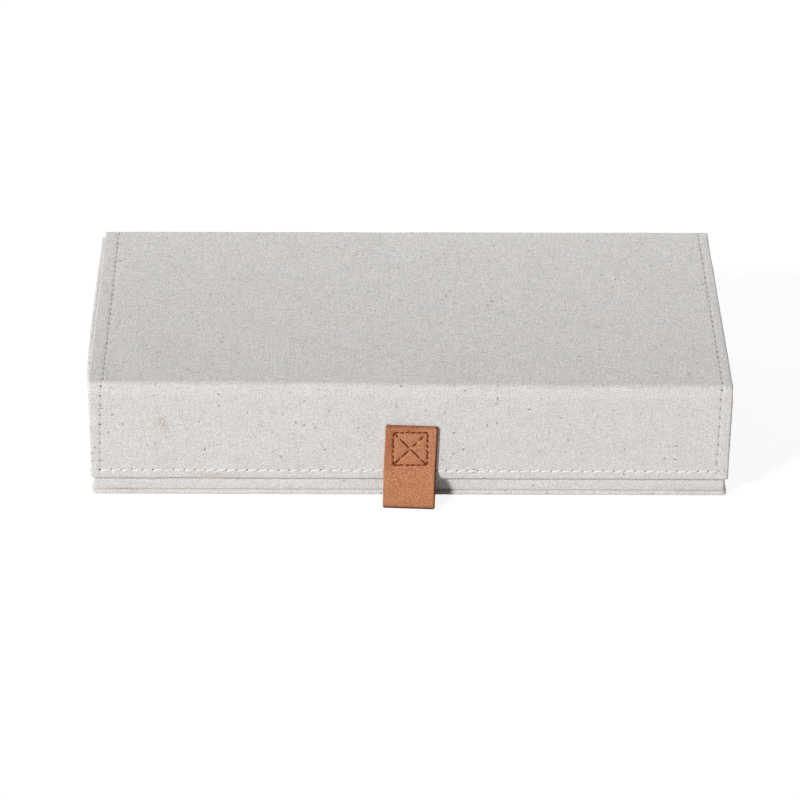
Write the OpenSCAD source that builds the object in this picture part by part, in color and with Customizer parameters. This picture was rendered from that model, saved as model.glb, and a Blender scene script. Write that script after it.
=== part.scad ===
// Storage box for spectacles, covered in natural linen.
// A partitioned tray stands on a base panel. Spine, lid and front flap are greyboard panels under one
// run of linen, so the lid swings on a cloth hinge at the back and the flap on another at the front.
// A leather tab sewn to the flap lifts it, and magnets hidden in the flap hold it to the tray.
// Frame: +X to the right, -Y to the front, +Z up. The origin is on the table under the middle of the lid.

/* [Overall] */
// Width of the lid, the flap and the spine
box_w = 335; // [260:1:420]
// Depth from the face of the flap to the face of the spine
box_d = 175; // [150:1:230]
// Height from the table to the face of the lid
box_h = 67.5; // [52:0.5:100]

/* [Layers] */
// Thickness of the greyboard in the walls, lid, flap and spine
board_t = 1.8; // [1.4:0.1:3]
// Thickness of the greyboard in the base panel
base_board_t = 1.8; // [1.6:0.1:4]
// Thickness of the linen
cloth_t = 0.5; // [0.3:0.05:0.8]
// Thickness of the lining
lining_t = 0.4; // [0.2:0.05:0.8]

/* [Lid and flap] */
// Slack of the cloth at a fold, beyond the thickness of the panel
fold_slack = 0.2; // [0.1:0.1:1.5]
// Height of the flap's lower edge above the table
flap_lift = 11.2; // [6:0.1:18]
// Clearance between the flap's lining and the tray
flap_gap = 0.5; // [0.3:0.1:2]
// Clearance between the lid's lining and the rim of the tray
lid_gap = 0.3; // [0.2:0.1:1.5]
// Rounding of the wrapped edges of the lid, flap and spine
edge_r = 1; // [0.9:0.1:1.4]

/* [Tray and base] */
// Distance that the lid stands out past each side of the tray
lid_overhang = 1.2; // [0.5:0.1:5]
// Distance that the base panel stands out past the tray
base_lip = 1.1; // [0.4:0.1:3]
// Corner radius of the tray, seen from above
tray_corner_r = 2; // [1.2:0.1:3]
// Corner radius of the base panel, seen from above
base_corner_r = 2.5; // [1.2:0.1:4]
// Rounding of the tray's rim and of the base panel's edge
rim_r = 1.1; // [0.9:0.1:1.3]
// Width of the linen turned in over an edge
turn_in = 14; // [8:1:24]

/* [Compartments] */
// Number of compartments
compartments = 5; // [2:1:7]
// Thickness of a divider
divider_t = 3; // [2.8:0.1:5]
// Depth of a divider's top below the rim
divider_drop = 7; // [2:0.5:20]
// Clearance at each end of a divider
divider_gap = 0.1; // [0.05:0.05:0.5]

/* [Closure] */
// Diameter of a magnet in the flap
magnet_d = 12; // [8:1:16]
// Thickness of a magnet
magnet_t = 1; // [0.6:0.1:1.2]
// Diameter of a steel keeper in the tray's front wall
keeper_d = 14; // [8:1:18]
// Thickness of a keeper
keeper_t = 0.8; // [0.4:0.1:1.2]
// Distance of a magnet from the side of the flap
magnet_inset = 48; // [20:1:90]
// Height of a magnet above the flap's lower edge
magnet_rise = 18; // [12:1:26]

/* [Pull tab] */
// Width of the leather tab
tab_w = 27.4; // [16:0.1:40]
// Thickness of the leather
tab_t = 1.5; // [1:0.1:3]
// Height of the tab's bend above the flap's lower edge
tab_rise = 9.2; // [6:0.1:14]
// Length of the tab sewn flat to the flap above the bend
tab_sewn = 23.6; // [18:0.1:30]
// Radius of the bend on its hollow side
tab_bend_r = 10.5; // [6:0.5:14]
// Thinning of the leather at the bend, on each face
tab_thin = 0.05; // [0.02:0.01:0.2]
// Angle that the loose end of the tab turns outwards
tab_sweep = 40; // [20:1:50]
// Height of the tab's loose end above the table
tab_foot = 0.8; // [0.6:0.1:4]
// Lean of the tab to the side
tab_lean = 2; // [0:0.5:5]
// Rounding of the tab's corners
tab_corner_r = 1.2; // [0.5:0.1:4]

/* [Stitching] */
// Length of one stitch with the gap after it
stitch_pitch = 5.5; // [3:0.1:8]
// Gap between two stitches
stitch_gap = 1; // [0.5:0.1:2]
// Distance of the seam from the edge of the cloth
stitch_inset = 5.3; // [3:0.1:10]
// Radius of the thread
thread_r = 0.3; // [0.15:0.05:0.5]
// Angle of a stitch to its seam
stitch_slant = 5; // [0:1:12]
// Length of one stitch on the tab with the gap after it
tab_pitch = 3; // [2:0.1:5]
// Distance of the tab's sewn box from the tab's sides
tab_side_inset = 4.9; // [2:0.1:6]
// Distance of the tab's sewn box from the tab's top
tab_top_inset = 3.8; // [2:0.1:6]
// Distance of the tab's sewn box from the tab's bend
tab_low_inset = 0.5; // [0.4:0.1:4]

/* [Hidden] */
$fn = 64;
// Overlap of cutting shapes past the surface that they open
over = 1;

panel_t = cloth_t + board_t + lining_t;
fold_r = panel_t + fold_slack;
y_front = -box_d / 2;
y_back = box_d / 2;
fold_y = box_d / 2 - fold_r;
fold_z = box_h - fold_r;
seam_x = box_w / 2 - stitch_inset;

base_t = base_board_t + 2 * cloth_t;
tray_x = box_w / 2 - lid_overhang;
tray_y0 = y_front + panel_t + flap_gap;
tray_y1 = y_back - cloth_t - board_t;
rim_z = box_h - panel_t - lid_gap;
base_x = tray_x + base_lip;
base_y0 = tray_y0 - base_lip;

// Inner face of the wall boards, and the free space inside the cloth
wall_in = cloth_t + board_t;
free_in = wall_in + max(cloth_t, lining_t);
floor_z = base_t + board_t;
deck_z = floor_z + lining_t;

free_w = 2 * (tray_x - free_in);
bay_w = (free_w - (compartments - 1) * divider_t) / compartments;
divider_top = rim_z - divider_drop;

magnet_x = box_w / 2 - magnet_inset;
magnet_z = flap_lift + magnet_rise;

tab_bend_z = flap_lift + tab_rise;
tab_top_z = tab_bend_z + tab_sewn;
tab_reach = tab_bend_r + tab_t;
tab_loose = (tab_bend_z - tab_foot - tab_reach * sin(tab_sweep)) / cos(tab_sweep);

linen = [0.84, 0.82, 0.79];
lining_tone = [0.80, 0.77, 0.72];
greyboard = [0.62, 0.59, 0.54];
thread_tone = [0.90, 0.88, 0.84];
leather_tone = [0.72, 0.48, 0.35];
tab_thread_tone = [0.36, 0.20, 0.12];
steel = [0.66, 0.67, 0.68];

// Rectangle between two corners
module span(x0, x1, y0, y1) {
    translate([x0, y0]) square([x1 - x0, y1 - y0]);
}

// Rectangle whose marked corners are rounded: low left, low right, high left, high right
module soft_span(x0, x1, y0, y1, r, marks) {
    spots = [[x0, y0, 1, 1], [x1, y0, -1, 1], [x0, y1, 1, -1], [x1, y1, -1, -1]];
    difference() {
        span(x0, x1, y0, y1);
        for (i = [0:3]) if (marks[i])
            translate([spots[i][0], spots[i][1]]) square(2 * r, center = true);
    }
    for (i = [0:3]) if (marks[i])
        translate([spots[i][0] + spots[i][2] * r, spots[i][1] + spots[i][3] * r]) circle(r);
}

// Box between two heights over a rectangle
module block(x0, x1, y0, y1, z0, z1) {
    translate([x0, y0, z0]) cube([x1 - x0, y1 - y0, z1 - z0]);
}

// Runs a profile drawn in Y and Z along X, evenly about the middle
module along_x(w) {
    rotate([90, 0, 90]) translate([0, 0, -w / 2]) linear_extrude(w) children();
}

// Runs a profile drawn in X and Z from one depth to another
module along_y(y0, y1) {
    translate([0, y1, 0]) rotate([90, 0, 0]) linear_extrude(y1 - y0) children();
}

// Runs a profile drawn in X and Y from one height to another
module along_z(z0, z1) {
    translate([0, 0, z0]) linear_extrude(z1 - z0) children();
}

// Solid of the base panel, drawn in from its wrapped faces
module base_form(inset) {
    r = rim_r - inset;
    all = [1, 1, 1, 1];
    x = base_x - inset;
    y0 = base_y0 + inset;
    y1 = y_back - inset;
    z0 = inset;
    z1 = base_t - inset;
    intersection() {
        along_z(z0, z1) soft_span(-x, x, y0, y1, base_corner_r - inset, all);
        along_y(y0 - over, y1 + over) soft_span(-x, x, z0, z1, r, all);
        along_x(box_w + 2 * over) soft_span(y0, y1, z0, z1, r, all);
    }
}

// Outline of the tray from above, drawn in from its outer face
module tray_plan(inset) {
    soft_span(-tray_x + inset, tray_x - inset, tray_y0 + inset, tray_y1 - inset,
              tray_corner_r - inset, [1, 1, 1, 1]);
}

// Square-cornered space inside the wall boards, drawn in from the tray's outer face
module tray_space(inset) {
    span(-tray_x + inset, tray_x - inset, tray_y0 + inset, tray_y1 - inset);
}

// Solid of the tray with a softened rim, from a height up, drawn in from its outer faces
module tray_form(inset, z0) {
    r = rim_r - inset;
    top = [0, 0, 1, 1];
    x = tray_x - inset;
    y0 = tray_y0 + inset;
    y1 = tray_y1 - inset;
    z1 = rim_z - inset;
    intersection() {
        along_z(z0, z1) tray_plan(inset);
        along_y(y0 - over, y1 + over) soft_span(-x, x, z0 - over, z1, r, top);
        along_x(box_w) soft_span(y0, y1, z0 - over, z1, r, top);
    }
}

// Solid of the lid panel from a height up to its face, drawn in from its wrapped faces
module lid_form(inset, z0, past) {
    along_y(-fold_y - past, fold_y + past)
        soft_span(-box_w / 2 + inset, box_w / 2 - inset, z0, box_h - inset, edge_r - inset, [0, 0, 1, 1]);
}

// Solid of the flap panel from its face to a depth, drawn in from its wrapped faces
module flap_form(inset, y1, past) {
    r = edge_r - inset;
    x = box_w / 2 - inset;
    y0 = y_front + inset;
    z0 = flap_lift + inset;
    z1 = fold_z + past;
    intersection() {
        along_z(z0, z1) soft_span(-x, x, y0, y1, r, [1, 1, 0, 0]);
        along_x(box_w) soft_span(y0, y1, z0, z1, r, [1, 0, 0, 0]);
    }
}

// Solid of the spine panel from a depth to its face, drawn in from its wrapped faces
module spine_form(inset, y0, past) {
    along_z(base_t - past, fold_z + past)
        soft_span(-box_w / 2 + inset, box_w / 2 - inset, y0, y_back - inset, edge_r - inset, [0, 0, 1, 1]);
}

// Quarter turn of cloth that joins two panels, bulging to +Y and +Z from its axis
module fold_strip() {
    along_x(box_w) intersection() {
        difference() {
            circle(fold_r);
            circle(fold_r - cloth_t);
        }
        square(fold_r);
    }
}

// Pair of discs with their flat faces square to Y, from one depth to another
module disc_pair(d, y0, y1) {
    for (side = [-1, 1])
        translate([side * magnet_x, y1, magnet_z]) rotate([90, 0, 0]) cylinder(h = y1 - y0, d = d);
}

// Half-round stitch that lies along X on the plane Z = 0
module stitch(length) {
    along_x(length) intersection() {
        circle(thread_r);
        span(-thread_r, thread_r, 0, thread_r);
    }
}

// Row of stitches along X on the plane Z = 0, leaving out those nearer to the middle than clear
module seam(length, pitch, slant, clear) {
    n = floor(length / pitch);
    for (i = [0:n - 1]) {
        x = (i - (n - 1) / 2) * pitch;
        if (abs(x) >= clear) translate([x, 0, 0]) rotate([0, 0, slant]) stitch(pitch - stitch_gap);
    }
}

// Greyboard of the base panel
module bottom_board() {
    color(greyboard) base_form(cloth_t);
}

// Linen wrapped round the base panel and turned in on its upper face
module bottom_cover() {
    color(linen) difference() {
        base_form(0);
        base_form(cloth_t);
        block(-base_x + turn_in, base_x - turn_in, base_y0 + turn_in, y_back - turn_in,
              base_t - cloth_t - over / 2, base_t + over);
    }
}

// Greyboard floor of the tray, between the walls
module tray_floor() {
    color(greyboard) along_z(base_t, floor_z) tray_space(wall_in);
}

// Front or back wall board, as deep as the part of the tray between two depths
module end_wall(y0, y1) {
    intersection() {
        tray_form(cloth_t, base_t);
        block(-box_w, box_w, y0, y1, 0, box_h);
    }
}

// Side wall board between the front and back walls, from one side position to another
module side_wall(x0, x1) {
    intersection() {
        tray_form(cloth_t, base_t);
        block(x0, x1, tray_y0 + wall_in, tray_y1 - wall_in, 0, box_h);
    }
}

// Front wall with a round pocket for each keeper
module front_wall() {
    color(greyboard) difference() {
        end_wall(tray_y0, tray_y0 + wall_in);
        disc_pair(keeper_d, tray_y0 + cloth_t - over, tray_y0 + cloth_t + keeper_t);
    }
}

// Back wall
module back_wall() {
    color(greyboard) end_wall(tray_y1 - wall_in, tray_y1);
}

// Left wall
module left_wall() {
    color(greyboard) side_wall(-tray_x, -tray_x + wall_in);
}

// Right wall
module right_wall() {
    color(greyboard) side_wall(tray_x - wall_in, tray_x);
}

// Steel discs that the magnets hold to
module keepers() {
    color(steel) disc_pair(keeper_d, tray_y0 + cloth_t, tray_y0 + cloth_t + keeper_t);
}

// Linen round the tray, carried over the rim and turned in
module tray_cover() {
    color(linen) difference() {
        tray_form(0, base_t);
        difference() {
            tray_form(cloth_t, base_t - over);
            along_z(base_t - 2 * over, rim_z + over) tray_space(wall_in);
        }
        along_z(base_t - over, rim_z - turn_in) tray_space(wall_in);
        along_z(base_t - over, rim_z + over) tray_space(wall_in + cloth_t);
    }
}

// Lining of the tray's floor
module floor_lining() {
    color(lining_tone) along_z(floor_z, deck_z) tray_space(wall_in);
}

// Lining of the tray's walls, up to the linen turned in over the rim
module wall_lining() {
    color(lining_tone) along_z(deck_z, rim_z - turn_in) difference() {
        tray_space(wall_in);
        tray_space(wall_in + lining_t);
    }
}

// Middle of a divider, counted from the left
function divider_x(i) = -free_w / 2 + i * (bay_w + divider_t) - divider_t / 2;

// Solid of a divider with its top edges softened, drawn in from its wrapped faces
module divider_form(i, inset, past) {
    x = divider_t / 2 - inset;
    translate([divider_x(i), 0, 0])
        along_y(tray_y0 + free_in + divider_gap + inset, tray_y1 - free_in - divider_gap - inset)
            soft_span(-x, x, deck_z - past, divider_top - inset, edge_r - inset, [0, 0, 1, 1]);
}

// Greyboard in the dividers
module divider_boards() {
    color(greyboard) for (i = [1:compartments - 1]) divider_form(i, lining_t, 0);
}

// Lining wrapped over one divider
module divider(i) {
    color(lining_tone) difference() {
        divider_form(i, 0, 0);
        divider_form(i, lining_t, over);
    }
}

// Greyboard in the spine, which stands on the base panel behind the tray
module spine_board() {
    color(greyboard) spine_form(cloth_t, tray_y1, 0);
}

// Linen over the spine, wrapped round its ends
module spine_cover() {
    color(linen) difference() {
        spine_form(0, tray_y1, 0);
        spine_form(cloth_t, tray_y1 - over, over);
    }
}

// Seams down both ends of the spine
module spine_stitching() {
    color(thread_tone) for (side = [-1, 1])
        translate([side * seam_x, y_back, (base_t + fold_z) / 2])
            rotate([-90, 0, 0]) rotate([0, 0, 90]) seam(fold_z - base_t, stitch_pitch, stitch_slant, 0);
}

// Cloth hinge between the spine and the lid
module rear_hinge_cloth() {
    color(linen) translate([0, fold_y, fold_z]) fold_strip();
}

// Greyboard in the lid
module lid_board() {
    color(greyboard) lid_form(cloth_t, box_h - cloth_t - board_t, 0);
}

// Linen over the lid, wrapped round its sides
module lid_cover() {
    color(linen) difference() {
        lid_form(0, box_h - panel_t, 0);
        lid_form(cloth_t, box_h - panel_t - over, over);
    }
}

// Lining under the lid
module lid_lining() {
    color(lining_tone)
        block(-box_w / 2 + cloth_t, box_w / 2 - cloth_t, -fold_y, fold_y,
              box_h - panel_t, box_h - cloth_t - board_t);
}

// Seams along both sides of the lid
module lid_stitching() {
    color(thread_tone) for (side = [-1, 1])
        translate([side * seam_x, 0, box_h])
            rotate([0, 0, 90]) seam(2 * fold_y, stitch_pitch, stitch_slant, 0);
}

// Cloth hinge between the lid and the flap
module front_hinge_cloth() {
    color(linen) translate([0, -fold_y, fold_z]) mirror([0, 1, 0]) fold_strip();
}

// Greyboard in the flap with a round pocket for each magnet
module flap_board() {
    y1 = y_front + cloth_t + board_t;
    color(greyboard) difference() {
        flap_form(cloth_t, y1, 0);
        disc_pair(magnet_d, y1 - magnet_t, y1 + over);
    }
}

// Magnets let into the back of the flap's board
module flap_magnets() {
    y1 = y_front + cloth_t + board_t;
    color(steel) disc_pair(magnet_d, y1 - magnet_t, y1);
}

// Linen over the flap, wrapped round its sides and lower edge
module flap_cover() {
    y1 = y_front + panel_t;
    color(linen) difference() {
        flap_form(0, y1, 0);
        flap_form(cloth_t, y1 + over, over);
    }
}

// Lining behind the flap
module flap_lining() {
    color(lining_tone)
        block(-box_w / 2 + cloth_t, box_w / 2 - cloth_t, y_front + cloth_t + board_t, y_front + panel_t,
              flap_lift + cloth_t, fold_z);
}

// Seams down both sides of the flap and along its lower edge, broken behind the tab
module flap_stitching() {
    low = flap_lift + stitch_inset;
    color(thread_tone) {
        for (side = [-1, 1])
            translate([side * seam_x, y_front, (low + fold_z) / 2])
                rotate([90, 0, 0]) rotate([0, 0, 90]) seam(fold_z - low, stitch_pitch, stitch_slant, 0);
        translate([0, y_front, low]) rotate([90, 0, 0])
            seam(2 * seam_x - stitch_pitch, stitch_pitch, stitch_slant, (tab_w + stitch_pitch) / 2);
    }
}

// Leans a piece of the tab to the side about the middle of its bend
module leaning() {
    translate([0, 0, tab_bend_z]) rotate([0, tab_lean, 0]) translate([0, 0, -tab_bend_z]) children();
}

// Leather tab, flat on the flap above, bent outwards under its sewing and straight from there
module pull_tab() {
    far = 2 * tab_reach + tab_loose;
    color(leather_tone) leaning() intersection() {
        along_x(tab_w) {
            span(y_front - tab_t, y_front, tab_bend_z, tab_top_z);
            translate([y_front - tab_reach, tab_bend_z]) {
                intersection() {
                    difference() {
                        circle(tab_reach - tab_thin);
                        circle(tab_bend_r + tab_thin);
                    }
                    span(-far, far, -far, 0);
                    rotate(-tab_sweep) span(-far, far, 0, far);
                }
                rotate(-tab_sweep) span(tab_bend_r, tab_reach, -tab_loose, 0);
            }
        }
        along_y(y_front - far, y_front + over)
            soft_span(-tab_w / 2, tab_w / 2, tab_foot, tab_top_z, tab_corner_r, [1, 1, 1, 1]);
    }
}

// Box and cross sewn through the tab
module tab_stitching() {
    w = tab_w - 2 * tab_side_inset;
    h = tab_sewn - tab_top_inset - tab_low_inset;
    z = tab_top_z - tab_top_inset - h / 2;
    cross = sqrt(w * w + h * h);
    tilt = atan2(h, w);
    w_pitch = w / round(w / tab_pitch);
    h_pitch = h / round(h / tab_pitch);
    cross_pitch = cross / (2 * round(cross / tab_pitch / 2));
    color(tab_thread_tone) leaning() translate([0, y_front - tab_t, z]) rotate([90, 0, 0]) {
        for (side = [-1, 1]) {
            translate([0, side * h / 2, 0]) seam(w + stitch_gap, w_pitch, 0, 0);
            translate([side * w / 2, 0, 0]) rotate([0, 0, 90]) seam(h + stitch_gap, h_pitch, 0, 0);
            rotate([0, 0, side * tilt]) seam(cross + stitch_gap, cross_pitch, 0, 0);
        }
    }
}

bottom_board();
bottom_cover();
tray_floor();
front_wall();
back_wall();
left_wall();
right_wall();
keepers();
tray_cover();
floor_lining();
wall_lining();
divider_boards();
for (i = [1:compartments - 1]) divider(i);
spine_board();
spine_cover();
spine_stitching();
rear_hinge_cloth();
lid_board();
lid_cover();
lid_lining();
lid_stitching();
front_hinge_cloth();
flap_board();
flap_magnets();
flap_cover();
flap_lining();
flap_stitching();
pull_tab();
tab_stitching();
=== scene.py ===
import math

import bmesh
import bpy
import numpy as np
from mathutils import Matrix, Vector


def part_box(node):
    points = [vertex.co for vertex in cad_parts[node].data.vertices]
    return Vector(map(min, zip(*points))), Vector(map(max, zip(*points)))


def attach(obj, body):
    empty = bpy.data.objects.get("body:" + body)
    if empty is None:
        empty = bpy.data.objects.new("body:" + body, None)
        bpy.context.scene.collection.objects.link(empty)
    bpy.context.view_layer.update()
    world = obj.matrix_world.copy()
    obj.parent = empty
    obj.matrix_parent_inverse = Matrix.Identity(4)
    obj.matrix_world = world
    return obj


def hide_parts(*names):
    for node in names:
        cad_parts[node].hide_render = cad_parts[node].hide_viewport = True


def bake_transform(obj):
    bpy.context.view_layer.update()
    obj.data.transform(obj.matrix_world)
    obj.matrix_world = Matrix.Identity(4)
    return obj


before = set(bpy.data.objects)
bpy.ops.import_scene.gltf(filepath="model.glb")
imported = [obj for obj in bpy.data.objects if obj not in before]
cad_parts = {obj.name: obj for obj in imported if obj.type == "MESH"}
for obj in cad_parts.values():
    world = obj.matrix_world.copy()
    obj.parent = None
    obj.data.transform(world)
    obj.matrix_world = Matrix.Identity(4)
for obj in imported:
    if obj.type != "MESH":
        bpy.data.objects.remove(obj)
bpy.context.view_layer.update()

# Linen storage box for spectacles: a partitioned tray on a base panel, and a spine, lid and front flap
# under one run of linen. The linen has its own coordinates: u across from the middle, and v along the
# cloth from the middle of the lid, growing over the front fold and down the flap.

MM = 0.001

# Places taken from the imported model
lid_lo, lid_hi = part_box("lid_cover")
flap_lo, flap_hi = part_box("flap_cover")
spine_lo, spine_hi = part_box("spine_cover")
tray_lo, tray_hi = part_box("tray_cover")
base_lo, base_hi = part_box("bottom_cover")
lining_lo, lining_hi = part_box("wall_lining")
board_lo, board_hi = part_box("left_wall")

half_w = lid_hi.x
lid_z = lid_hi.z
fold_y = lid_hi.y
fold_z = flap_hi.z
flap_z = flap_lo.z
spine_z = spine_lo.z
front_y = flap_lo.y
panel_t = lid_hi.z - lid_lo.z
fold_r = lid_z - fold_z

# Layers, edges and seams of the cloth
cloth_t = 0.5 * MM
lining_t = 0.4 * MM
edge_r = 1.0 * MM
hem = 1.0 * MM
pitch = 5.5 * MM
seam_inset = 5.3 * MM
thread_r = 0.22 * MM
low_thread_r = 0.33 * MM
tab_thread_r = 0.44 * MM
rng_seed = 7

# The leather tab and the box sewn on it
tab_t = 1.5 * MM
tab_half = 13.7 * MM
tab_top = 44.0 * MM
tab_bend = 20.4 * MM
tab_bend_r = 10.5 * MM
tab_sweep = math.radians(40)
tab_lean = math.radians(2)
tab_foot = 0.8 * MM
tab_reach = tab_bend_r + tab_t
tab_flat = tab_top - tab_bend
tab_turn = tab_bend_r * tab_sweep
tab_loose = (tab_bend - tab_foot - tab_reach * math.sin(tab_sweep)) / math.cos(tab_sweep)
tab_len = tab_flat + tab_turn + tab_loose
tab_edge = 0.42 * MM
tab_round = 1.2 * MM
box_half = 8.95 * MM
box_top = 3.8 * MM
box_tall = 19.7 * MM
box_shift = -0.35 * MM
box_turn = math.radians(1.6)

# Stops of the cloth along v
lid_end = fold_y
fold_end = lid_end + fold_r * math.pi / 2
flap_end = fold_end + fold_z - flap_z - edge_r
lip_end = flap_end + edge_r * math.pi / 2
under_end = lip_end + panel_t - edge_r
spine_end = fold_end + fold_z - spine_z
low_seam = pitch * round((fold_end + fold_z - flap_z - seam_inset) / pitch)

# Stops of the cloth across u
flat_half = half_w - edge_r
round_half = flat_half + edge_r * math.pi / 2
leg_half = round_half + panel_t - edge_r


def ladder(start, *runs):
    """Positions from start on, in runs of (end, spacing), without repeats."""
    parts = [np.array([start])]
    for end, spacing in runs:
        first = parts[-1][-1]
        count = max(1, round(abs(end - first) / spacing))
        parts.append(np.linspace(first, end, count + 1)[1:])
    return np.concatenate(parts)


def smooth(low, high, x):
    """Smooth step from 0 at low to 1 at high."""
    t = np.clip((x - low) / (high - low), 0, 1)
    return t * t * (3 - 2 * t)


def bell(x, width):
    """Bell curve of a given half width."""
    return np.exp(-((x / width) ** 2))


def run_length(points):
    """Distance along a line of points at each of them."""
    return np.concatenate([[0], np.cumsum(np.linalg.norm(np.diff(points, axis=0), axis=1))])


def flat(a, b):
    """Surface coordinates of points from two numbers for each."""
    return np.stack([a.ravel(), b.ravel(), np.zeros(a.size)], -1)


# Meshes

def linked(name, data):
    """Object of a mesh, lamp or camera, put into the scene."""
    thing = bpy.data.objects.new(name, data)
    bpy.context.scene.collection.objects.link(thing)
    return thing


def finished(name, mesh, sharp):
    """Object of a mesh, smooth but for edges sharper than an angle in degrees."""
    mesh.polygons.foreach_set("use_smooth", np.ones(len(mesh.polygons), bool))
    mesh.set_sharp_from_angle(angle=math.radians(sharp))
    return linked(name, mesh)


def mesh_object(name, points, faces, cloth, paints=None, sharp=40):
    """Object from points and faces, with outward normals and its surface coordinates as attributes."""
    mesh = bpy.data.meshes.new(name)
    mesh.from_pydata([tuple(p) for p in points], [], faces)
    mesh.validate()
    for key, values in {"cloth": cloth, **(paints or {})}.items():
        kind = "FLOAT_VECTOR" if values.ndim == 2 else "FLOAT"
        field = "vector" if values.ndim == 2 else "value"
        attribute = mesh.attributes.new(key, kind, "POINT")
        attribute.data.foreach_set(field, values.astype(np.float32).ravel())
    bm = bmesh.new()
    bm.from_mesh(mesh)
    bmesh.ops.recalc_face_normals(bm, faces=bm.faces)
    bm.to_mesh(mesh)
    bm.free()
    return finished(name, mesh, sharp)


def grid_faces(rows, cols, keep=None, wrap=False):
    """Quads of a grid of points; wrap joins the last row to the first."""
    count = rows if wrap else rows - 1
    faces = []
    for i in range(count):
        a = i * cols
        b = ((i + 1) % rows) * cols
        for j in range(cols - 1):
            if keep is None or keep[i, j]:
                faces.append((a + j, b + j, b + j + 1, a + j + 1))
    return faces


def skin(outer, inner, keep=None, wrap=False):
    """Closed skin between two grids of points: its points, its faces and each point's place in the grid."""
    rows, cols = outer.shape[:2]
    flat_out = outer.reshape(-1, 3)
    flat_in = inner.reshape(-1, 3)
    same = 1e-8
    key = np.round(flat_out / same).astype(np.int64)
    _, first, back = np.unique(key, axis=0, return_index=True, return_inverse=True)
    weld = first[back.ravel()]
    quads = []
    for quad in grid_faces(rows, cols, keep, wrap):
        ring = [int(weld[k]) for k in quad]
        ring = [k for n, k in enumerate(ring) if k != ring[n - 1]]
        if len(ring) > 2:
            quads.append(tuple(ring))
    used = sorted({k for ring in quads for k in ring})
    place = {k: n for n, k in enumerate(used)}
    half = len(used)
    faces = [tuple(place[k] for k in ring) for ring in quads]
    sides = {}
    for ring in faces:
        for a, b in zip(ring, ring[1:] + ring[:1]):
            sides[frozenset((a, b))] = None if frozenset((a, b)) in sides else (a, b)
    walls = [(b, a, a + half, b + half) for a, b in filter(None, sides.values())]
    backs = [tuple(k + half for k in reversed(ring)) for ring in faces]
    points = np.concatenate([flat_out[used], flat_in[used]])
    return points, faces + backs + walls, np.concatenate([used, used])


# The linen over spine, lid and flap

def seam_place(v, side):
    """Distance of a side seam from the middle: it drifts a little along the cloth."""
    stops = [-spine_end, lid_end, fold_end, low_seam]
    left = np.array([159.8, 159.8, 161.0, 162.5]) * MM
    right = np.array([162.3, 162.1, 161.4, 161.1]) * MM
    return np.interp(v, stops, left if side < 0 else right)


def beside_seam(u, v):
    """Distance of a place from the side seam next to it, growing outwards."""
    return np.abs(u) - np.where(u < 0, seam_place(v, -1), seam_place(v, 1))


def cloth_run(v):
    """Place (y, z) and outward normal (y, z) of the cloth's outer face along v."""
    v = np.asarray(v, float)
    s = np.abs(v)
    way = np.where(v > 0, -1.0, 1.0)
    turn = np.clip((s - lid_end) / fold_r, 0, math.pi / 2)
    y = way * (np.minimum(s, lid_end) + fold_r * np.sin(turn))
    z = fold_z + fold_r * np.cos(turn) - np.maximum(s - fold_end, 0)
    ny = way * np.sin(turn)
    nz = np.cos(turn)
    lip = np.clip((v - flap_end) / edge_r, 0, math.pi / 2)
    at_lip = v > flap_end
    y = np.where(at_lip, front_y + edge_r * (1 - np.cos(lip)) + np.maximum(v - lip_end, 0), y)
    z = np.where(at_lip, flap_z + edge_r * (1 - np.sin(lip)), z)
    ny = np.where(at_lip, -np.cos(lip), ny)
    nz = np.where(at_lip, -np.sin(lip), nz)
    return y, z, ny, nz


def cloth_across(u, inset=0.0):
    """Place x, depth below the face and normal (x, depth) of the cloth across u, drawn in by inset."""
    a = np.abs(u)
    side = np.sign(u)
    turn = np.clip((a - flat_half) / edge_r, 0, math.pi / 2)
    r = edge_r - inset
    x = side * (np.minimum(a, flat_half) + r * np.sin(turn))
    depth = edge_r - r * np.cos(turn) + np.maximum(a - round_half, 0)
    return x, depth, side * np.sin(turn), np.cos(turn)


relief_rng = np.random.default_rng(rng_seed)
ripple_count = 9
ripple_len = relief_rng.uniform(18, 60, ripple_count) * MM
ripple_way = relief_rng.uniform(0, math.pi, ripple_count)
ripple_turn = relief_rng.uniform(0, 2 * math.pi, ripple_count)
ripple_height = 0.022 * MM


def relief(u, v):
    """Height of the linen over its panel: seams drawn in, puckers beside them, faint unevenness, and at the
    folds a swell on the lid and a set-back with a belly below it."""
    groove, groove_w, steady = 0.11 * MM, 0.6 * MM, 0.8
    pucker, pucker_w = 0.05 * MM, 2.0 * MM
    crown, crown_w, crown_at = 0.06 * MM, 1.6 * MM, 2.6 * MM
    swell, swell_in = 0.17 * MM, 2.6 * MM
    set_back, set_out, belly, fade = 0.22 * MM, 4.8 * MM, 0.26 * MM, 18 * MM
    side = beside_seam(u, v)
    low = v - low_seam
    along_side = np.where(v < low_seam + pitch / 2, 1.0, 0.0)
    along_low = np.where(side < pitch / 2, 1.0, 0.0)
    h = np.zeros(np.broadcast(u, v).shape)
    for gap, run, live in ((side, v, along_side), (low, u + pitch / 2, along_low)):
        draw = bell(gap, groove_w)
        wave = np.cos(2 * math.pi * run / pitch)
        puckers = pucker * wave * bell(gap, pucker_w) * (1 - draw)
        h = h + live * (-groove * draw * (steady + (1 - steady) * wave) - puckers)
        h = h + live * crown * bell(gap - crown_at, crown_w)
    for length, way, turn in zip(ripple_len, ripple_way, ripple_turn):
        ahead = u * math.cos(way) + v * math.sin(way)
        h = h + ripple_height * np.sin(2 * math.pi / length * ahead + turn)
    a = np.abs(v)
    turned = smooth(lid_end, fold_end, a)
    stops = [fold_end, fold_end + set_out, fold_end + set_out + fade]
    below = np.interp(a, stops, [-set_back, belly, 0])
    return h + swell * smooth(lid_end - swell_in, lid_end, a) * (1 - turned) + below * turned


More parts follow.
